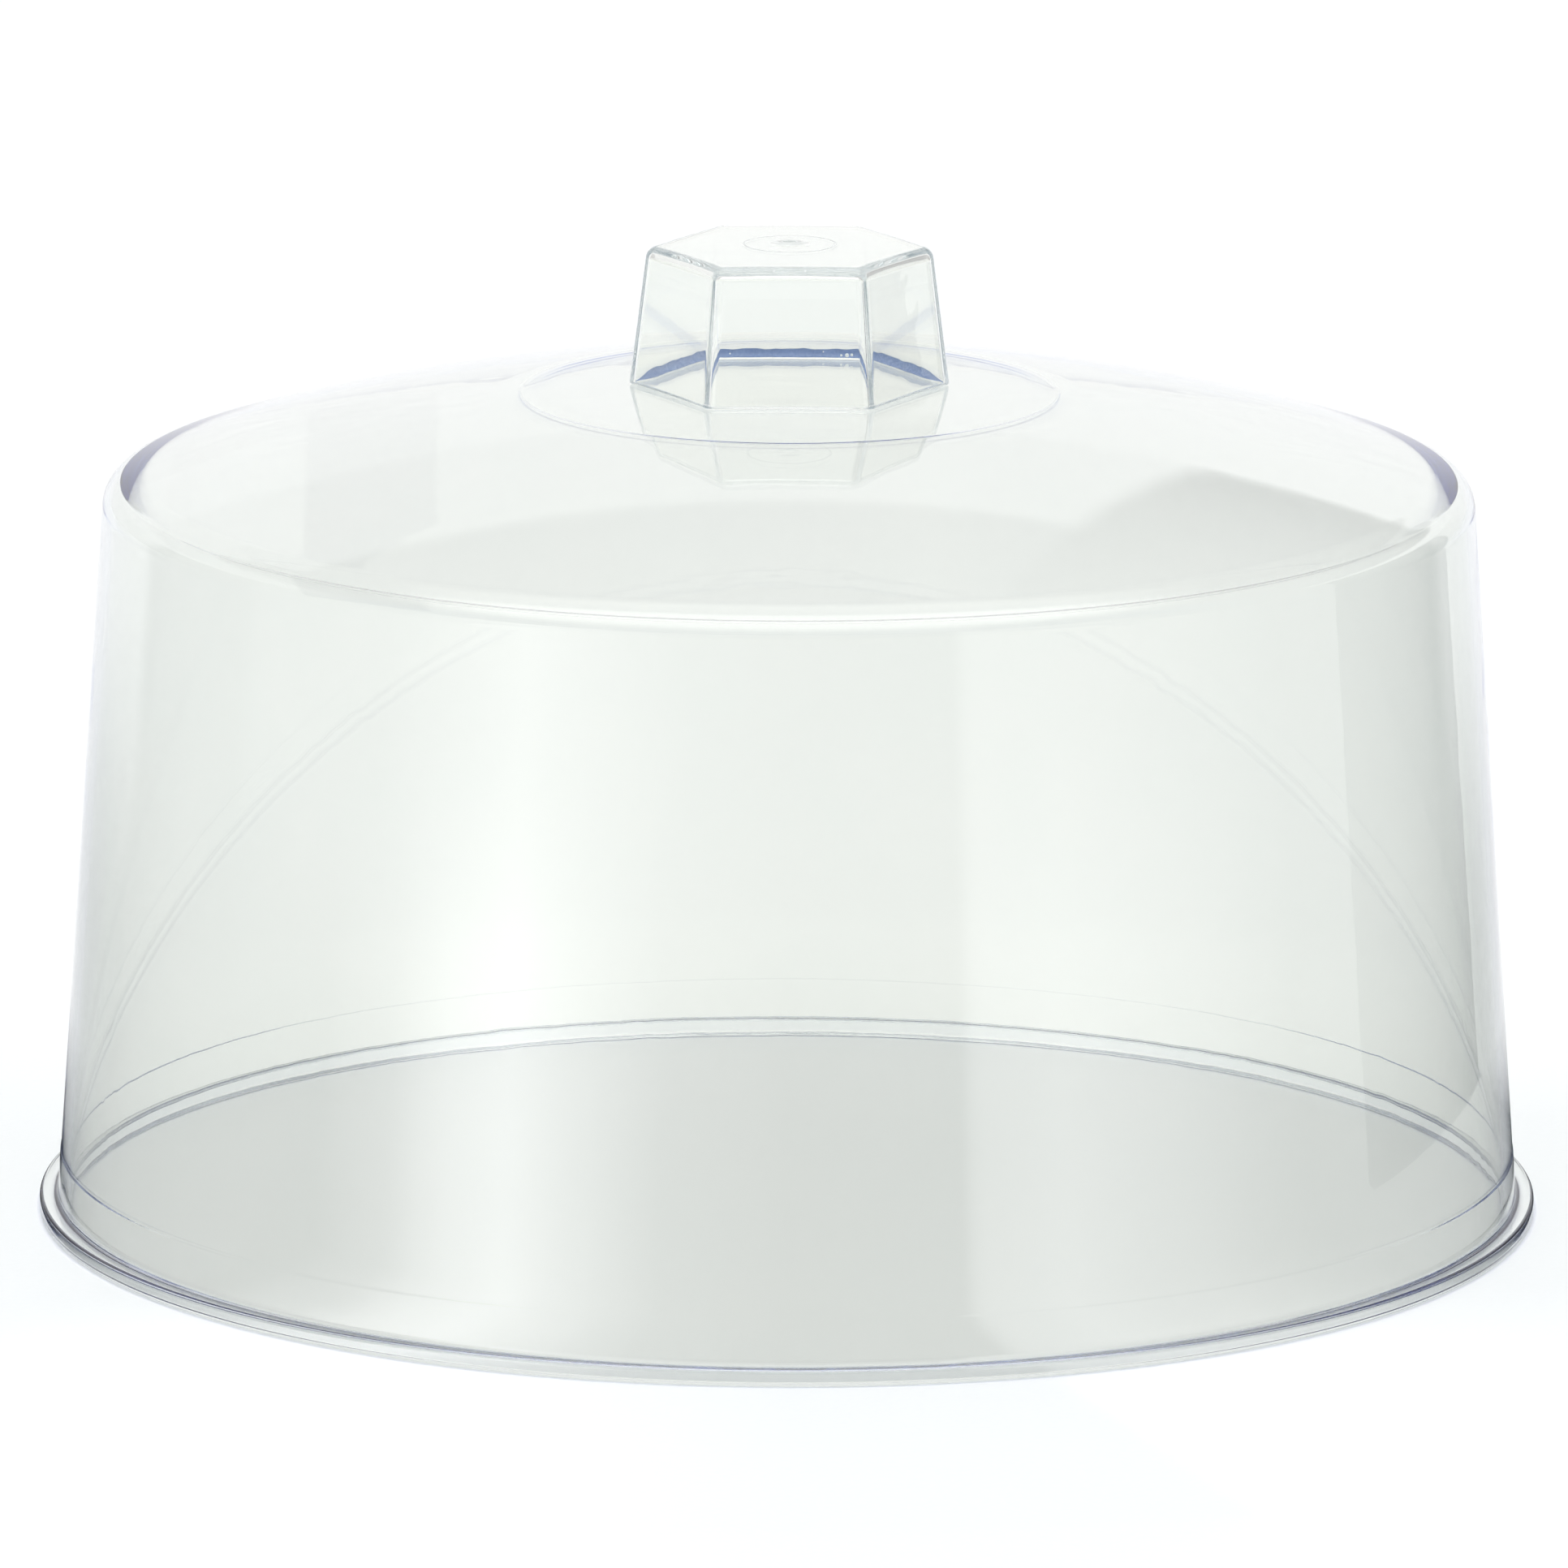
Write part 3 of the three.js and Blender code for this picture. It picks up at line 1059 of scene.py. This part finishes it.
@dataclass(frozen=True)
class CardRing(Finish):
    """Emission of the ring of white and grey cards round the object.

    Attributes:
        low: Brightness by bearing at table height, as (degrees from the camera side, level).
        high: The same at the top of the cards.
        blend_mm: Heights below which `low` and above which `high` holds.
    """

    name: str = "studio_cards"
    low: tuple[Pair, ...] = (
        (-180.0, 1.05), (-140.0, 1.0), (-120.0, 0.3), (-105.0, 0.0), (-58.0, 0.0), (-48.0, 1.2),
        (-40.0, 3.7), (-32.0, 4.9), (-24.0, 3.0), (-14.0, 0.9), (0.0, 0.2), (20.2, 0.2), (21.4, 1.9),
        (32.0, 2.5), (46.0, 1.4), (58.0, 0.4), (66.0, 0.0), (115.0, 0.0), (125.0, 0.5), (140.0, 1.0),
        (180.0, 1.05),
    )
    high: tuple[Pair, ...] = (
        (-180.0, 1.05), (-106.0, 0.95), (-102.0, 0.4), (-77.0, 0.35), (-74.0, 0.6), (-52.0, 0.9),
        (-42.0, 1.7), (-32.0, 2.7), (-23.0, 1.9), (-12.0, 1.0), (0.0, 0.6), (20.2, 0.5), (21.4, 1.5),
        (32.0, 1.4), (46.0, 0.8), (58.0, 0.4), (66.0, 0.1), (105.0, 0.1), (110.0, 0.8), (130.0, 1.0),
        (180.0, 1.05),
    )
    blend_mm: Pair = (25.0, 120.0)

    def nodes(self, tree: Tree, place: Socket) -> Mapping[str, Socket]:
        """Two ramps over the bearing, mixed by height."""
        axes = add_node(tree, "ShaderNodeSeparateXYZ", {0: place})
        turn = remap(tree, bearing_of(tree, axes), come=(-math.pi, math.pi))
        low, high = (
            ramp(tree, turn, [((b + 180.0) / 360.0, grey(level)) for b, level in stops], ease=False)
            for stops in (self.low, self.high)
        )
        span = (self.blend_mm[0] * MM, self.blend_mm[1] * MM)
        height = remap(tree, axes.outputs["Z"], span, kind="SMOOTHSTEP")
        glow = {"Color": blend(tree, height, low, high), "Strength": FULL_SCALE}
        return {"Surface": add_node(tree, "ShaderNodeEmission", glow).outputs[0]}


@dataclass(frozen=True)
class DarkFelt(Finish):
    """Grey felt on the flag: matt, so that it only takes light away from the reflections it
    fills."""

    name: str = "grey_felt"
    colour: str = "6e747b"
    nap: str = "7e848b"
    nap_mm: float = 2.0

    def nodes(self, tree: Tree, place: Socket) -> Mapping[str, Socket]:
        """Two greys in a fine nap."""
        nap = noise(tree, place, self.nap_mm)
        return principled(tree, blend(tree, nap, self.colour, self.nap), 0.95)


@dataclass(frozen=True)
class GreyScrim(Finish):
    """Thin grey scrim cloth: it lets most of the light through and takes the same share away
    everywhere.

    Attributes:
        level: Share of the light that the open weave lets through.
        weave: The same where the weave is tight.
        weave_mm: Size of the weave's patches.
    """

    name: str = "grey_scrim_cloth"
    level: float = 0.84
    weave: float = 0.81
    weave_mm: float = 3.0

    def nodes(self, tree: Tree, place: Socket) -> Mapping[str, Socket]:
        """A transparent surface whose grey varies over the weave."""
        passed = remap(tree, noise(tree, place, self.weave_mm), go=(self.weave, self.level))
        cloth = add_node(tree, "ShaderNodeBsdfTransparent", {"Color": passed})
        return {"Surface": cloth.outputs[0]}


@dataclass
class Studio:
    """A pale table under a bright surround, with cards close round the object that show only as
    reflections.

    Attributes:
        table_rings: Radii of the table top's rings of points, in metres.
        table_drop: How far the table lies below the object, so that no two faces coincide.
        screen: Brightness of the white screen behind the object, with screen_base below it, dim
            above it.
        overhead: Brightness of the soft light overhead.
        camera_side: Colour of the room on the camera's side.
        card_inner: Radius where the ring of cards starts, just outside the rim.
        card_radius: Radius where it turns up from card_lift over the table to card_height.
        card_step: Degrees between its points.
        flag_radius: Radius of the dark flag on the right.
        flag_span: Its first and last bearing, in degrees from the camera side.
        scrim_foot: Foot radius of the grey scrim tent over the table inside the cover, scrim_lift
            high.
        scrim_top: Its top radius, at scrim_height.
        around: Points round the table and the scrim.
        camera_place: Where the camera stands, looking down, turned left and rolled by degrees.
        lens: Its focal length over a 36 mm sensor.
    """

    table_rings: tuple[float, ...] = (0.35, 1.2, 4.0, 24.0)
    table_drop: float = 0.08
    screen: float = 0.97
    screen_base: float = 1.04
    dim: float = 0.7
    overhead: float = 2.0
    camera_side: str = "bcc3cf"
    card_inner: float = 153.6
    card_radius: float = 262.0
    card_height: float = 200.0
    card_lift: float = 0.3
    card_step: float = 2.5
    flag_radius: float = 272.0
    flag_span: Pair = (80.0, 115.0)
    scrim_foot: float = 146.2
    scrim_top: float = 136.0
    scrim_height: float = 150.0
    scrim_lift: float = 0.2
    around: int = 96
    camera_place: tuple[float, float, float] = (1.4, -3182.4, 785.7)
    camera_down: float = 12.383
    camera_turn: float = 0.04
    camera_roll: float = 0.18
    lens: float = 368.3
    table: PaleTable = PaleTable()
    cards: CardRing = CardRing()
    flag: DarkFelt = DarkFelt()
    scrim: GreyScrim = GreyScrim()

    def edge(self, radius: float, z: float) -> np.ndarray:
        """A ring of points round the axis, evenly spaced: (r cos a, r sin a, z)."""
        a = TAU * np.arange(self.around) / self.around
        return at_height(np.stack([np.cos(a), np.sin(a)], axis=1) * radius, z)

    def stage_disc(
        self, name: str, rings: Sequence[np.ndarray], finish: Finish, *unseen: str
    ) -> None:
        """Skin rings of points, close the last one on the axis and put the result on the stage.

        Args:
            name: Name of the object.
            rings: (x, y, z) rows of each ring, in metres.
            finish: Its finish.
            *unseen: Kinds of ray that don't meet it.
        """
        count = len(rings) * self.around
        points = np.concatenate([*rings, [[0.0, 0.0, rings[-1][0, 2]]]])
        made = mesh_object(
            name, points, ring_faces(len(rings), self.around, False),
            [fan(count, count - self.around, self.around, upward=True)],
        )
        on_stage(made, finish, *unseen)

    def build_table(self) -> None:
        """A round table top in one flat disc, a hair below height zero so that no two faces
        coincide."""
        rings = [self.edge(radius, -self.table_drop * MM) for radius in self.table_rings[::-1]]
        self.stage_disc("table_top", rings, self.table)

    def build_scrim(self) -> None:
        """A tent with a round flat top that only the light falling on the table inside the cover
        meets."""
        ends = ((self.scrim_foot, self.scrim_lift), (self.scrim_top, self.scrim_height))
        rings = [self.edge(radius, z) * MM for radius, z in ends]
        unseen = ("camera", "glossy", "transmission", "shadow")
        self.stage_disc(CardKind.SCRIM.value, rings, self.scrim, *unseen)

    def arc_card(
        self, kind: CardKind, span: Pair, inner: float, radius: float, finish: Finish, unseen: str
    ) -> None:
        """A card bent to an arc, flat on the table and then upright: (r sin b, -r cos b) over an
        even run of b.

        Args:
            kind: What the card is for.
            span: First and last bearing in degrees.
            inner: Radius in millimetres where the flat part starts.
            radius: Radius of the upright part.
            finish: Its finish.
            unseen: The kind of ray, besides camera, diffuse and shadow rays, that doesn't meet it.
        """
        first, last = span
        steps = max(int(abs(last - first) / self.card_step), 2)
        b = np.radians(np.linspace(first, last, steps + 1))
        way = np.stack([np.sin(b), -np.cos(b)], axis=1)
        corners = ((inner, self.card_lift), (radius, self.card_lift), (radius, self.card_height))
        points = np.concatenate([at_height(way * r, z) for r, z in corners]) * MM
        i = np.arange(len(b) - 1)
        strip = np.stack([i, i + 1, i + 1 + len(b), i + len(b)], axis=1)
        made = mesh_object(kind.value, points, np.concatenate([strip, strip + len(b)]), [])
        on_stage(made, finish, "camera", "diffuse", "shadow", unseen)

    def build_cards(self) -> None:
        """The ring of cards, seen only in outer reflections, and a dark flag on the right for
        inner ones."""
        ring, flag = CardKind.WHITE_RING, CardKind.DARK_FLAG
        reach, flag_reach = (self.card_inner, self.card_radius), (self.card_radius, self.flag_radius)
        self.arc_card(ring, (-180.0, 180.0), *reach, self.cards, "transmission")
        bpy.data.materials[self.cards.name].cycles.emission_sampling = "NONE"
        self.arc_card(flag, self.flag_span, *flag_reach, self.flag, "glossy")

    def build_surround(self) -> None:
        """The light all round, as a function of direction.

        Behind the object brightness is a ramp of elevation: bright base, white screen, dim above
        it, soft light overhead. To the right of the screen's edge the dim part comes down to the
        base. The camera's side has a ramp of its own, mixed in by bearing.
        """
        world = bpy.data.worlds.new("soft_surround")
        bpy.context.scene.world = world
        world.use_nodes = True
        tree = world.node_tree
        tree.nodes.clear()
        direction = add_node(tree, "ShaderNodeTexCoord").outputs["Generated"]
        axes = add_node(tree, "ShaderNodeSeparateXYZ", {0: direction})
        rise = remap(tree, axes.outputs["Z"], come=(-1.0, 1.0))
        bearing = bearing_of(tree, axes)

        def levels(*stops: tuple[float, Sequence[float]], ease: bool = False) -> Socket:
            """A ramp of colours over elevation in degrees, read at half of one plus its sine."""
            placed = [(0.5 + 0.5 * math.sin(math.radians(up)), colour) for up, colour in stops]
            return ramp(tree, rise, placed, ease)

        def between(value: Socket, first: float, last: float) -> Socket:
            """A smooth share that goes from nought to one as an angle passes from first to last
            degrees."""
            return remap(tree, value, (math.radians(first), math.radians(last)), kind="SMOOTHSTEP")

        base, dim, overhead = grey(self.screen_base), grey(self.dim), grey(self.overhead)
        screen = grey(self.screen)
        behind = levels(
            (-90.0, base), (20.6, base), (21.4, screen), (33.4, screen),
            (34.2, dim), (52.0, dim), (66.0, overhead), (90.0, overhead),
        )
        beside = levels(
            (-90.0, base), (20.6, base), (21.4, grey(self.dim * 0.6)), (34.0, grey(self.dim * 0.8)),
            (52.0, dim), (66.0, overhead), (90.0, overhead),
        )
        room = (*(v / FULL_SCALE for v in linear(self.camera_side)[:3]), 1.0)
        front = levels(
            (-90.0, base), (3.0, base), (8.0, room), (42.0, room), (60.0, overhead), (90.0, overhead),
            ease=True,
        )
        past_edge, aright = between(bearing, 172.4, 171.4), between(bearing, 60.0, 95.0)
        on_right = maths(tree, "MULTIPLY", past_edge, aright)
        aside = maths(tree, "ABSOLUTE", bearing)
        far = blend(tree, on_right, behind, beside)
        light = blend(tree, between(aside, 70.0, 96.0), front, far)
        ground = add_node(tree, "ShaderNodeBackground", {"Color": light, "Strength": FULL_SCALE})
        add_node(tree, "ShaderNodeOutputWorld", {0: ground.outputs[0]})

    def build_camera(self) -> None:
        """The long-lens camera, tilted down and rolled by a hair."""
        data = bpy.data.cameras.new("camera")
        data.sensor_width = 36.0
        data.lens = self.lens
        data.clip_start, data.clip_end = 0.05, 60.0
        camera = bpy.data.objects.new("camera", data)
        turn = Matrix.Rotation(math.radians(self.camera_turn), 4, "Z")
        tilt = Matrix.Rotation(math.radians(90.0 - self.camera_down), 4, "X")
        roll = Matrix.Rotation(math.radians(self.camera_roll), 4, "Z")
        stand = Matrix.Translation(Vector(self.camera_place) * MM)
        camera.matrix_world = stand @ turn @ tilt @ roll
        bpy.context.scene.collection.objects.link(camera)
        bpy.context.scene.camera = camera

    def build(self) -> None:
        """Build everything that isn't part of the object."""
        self.build_camera()
        self.build_table()
        self.build_cards()
        self.build_scrim()
        self.build_surround()


def on_stage(made: Object, finish: Finish, *unseen: str) -> None:
    """Give an object its finish and hide it from the kinds of ray given.

    Args:
        made: The object.
        finish: Its finish.
        *unseen: Kinds of ray that don't meet it, such as camera or glossy.
    """
    for ray in unseen:
        setattr(made, f"visible_{ray}", False)
    made.data.materials.append(finish.material())


def settle(piece: Object, slot: str, *nodes: str) -> None:
    """Fix a piece to the one rigid body, hide the CAD nodes that it replaces and log its face count.

    Args:
        piece: The finished object.
        slot: Not used.
        *nodes: CAD nodes that it replaces.
    """
    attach(piece, "root")
    if nodes:
        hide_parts(*nodes)
    LOG.info("%s: %d faces", piece.name, len(piece.data.polygons))


def main() -> None:
    """Build the studio and every piece."""
    logging.basicConfig(level=logging.INFO, format="%(name)s: %(message)s")
    scene = bpy.context.scene
    scene.view_settings.view_transform = "Standard"
    scene.cycles.max_bounces = LIGHT_BOUNCES
    scene.cycles.glossy_bounces = LIGHT_BOUNCES
    scene.cycles.transmission_bounces = LIGHT_BOUNCES
    scene.cycles.blur_glossy = 0.0

    Studio().build()
    cover = Cover()
    settle(cover.build(), cover.slot, cover.node)
    knob = Knob(cover)
    settle(knob.build(), knob.slot, knob.node)
    bead = CementBead(knob)
    settle(bead.build(), bead.slot, bead.node)
    settle(Bubbles(bead).build(), bead.slot)


if __name__ == "__main__":
    main()
